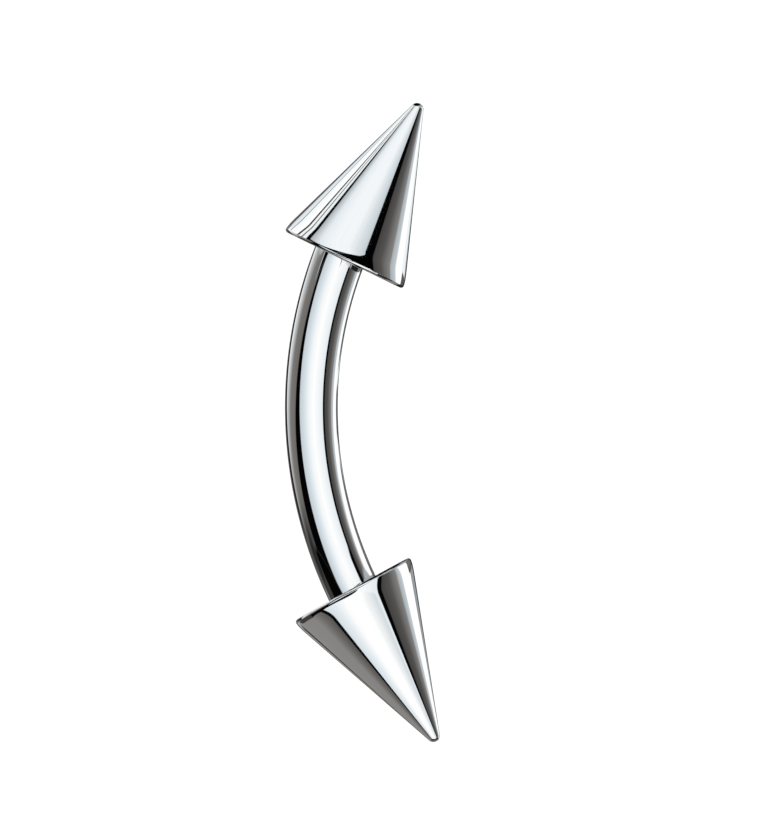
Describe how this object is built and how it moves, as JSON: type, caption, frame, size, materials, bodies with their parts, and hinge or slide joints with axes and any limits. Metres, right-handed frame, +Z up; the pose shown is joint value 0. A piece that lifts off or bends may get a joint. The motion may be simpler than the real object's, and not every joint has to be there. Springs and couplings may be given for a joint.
{
  "type": "curved eyebrow barbell",
  "caption": "Curved body-piercing barbell: a bent round bar with a screw-on cone spike at each end, all mirror-polished steel, resting on the spikes' flanks.",
  "frame": {"origin": "middle of the bottom of the whole part's box, at the surface that both spikes lie on", "axes": "+X along the length, towards the upper spike; +Y towards the side that the bar bulges to; +Z up"},
  "size_m": [0.0144, 0.0028, 0.0028],
  "materials": {
    "polished_steel": "mirror-polished surgical steel"
  },
  "bodies": {
    "bar": {"bar": "polished_steel"},
    "upper_spike": {"upper_spike": "polished_steel"},
    "lower_spike": {"lower_spike": "polished_steel"}
  },
  "joints": [
    {"name": "upper_spike_unscrew", "type": "slide", "parent": "bar", "child": "upper_spike", "axis": [0.887, -0.3103, -0.342], "range_m": [0, 0.0025]},
    {"name": "lower_spike_unscrew", "type": "slide", "parent": "bar", "child": "lower_spike", "axis": [-0.887, -0.3103, -0.342], "range_m": [0, 0.0025]}
  ]
}
